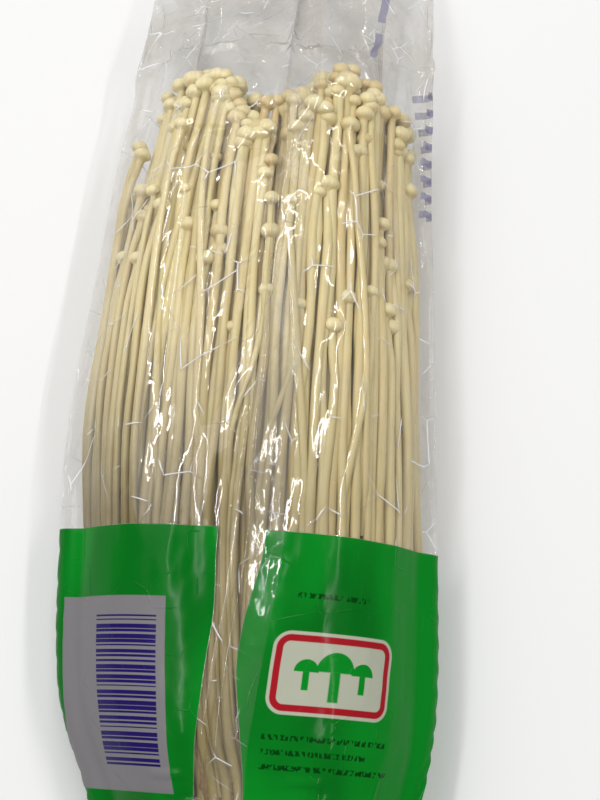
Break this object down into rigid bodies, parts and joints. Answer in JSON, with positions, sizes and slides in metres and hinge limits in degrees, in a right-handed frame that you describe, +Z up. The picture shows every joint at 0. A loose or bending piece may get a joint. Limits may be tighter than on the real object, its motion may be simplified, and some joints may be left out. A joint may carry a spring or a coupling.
{
  "type": "enoki mushroom bunch in a film pouch",
  "caption": "Bunch of long slender pale mushrooms with small round caps, grown together at the root, sealed flat in a clear film pouch with a printed lower band.",
  "frame": {"origin": "centre of the pack's footprint, on the surface it lies on, under the flat lower face of the pouch", "axes": "+Y from the root end towards the caps, +X across the pouch, +Z up, out of the face with the fin seam"},
  "size_m": [0.0861, 0.248, 0.038],
  "materials": {
    "mushroom_flesh": "satin",
    "pouch_film": "gloss"
  },
  "bodies": {
    "root": {"mushroom_bunch": "mushroom_flesh", "pouch_film": "pouch_film"}
  },
  "joints": []
}
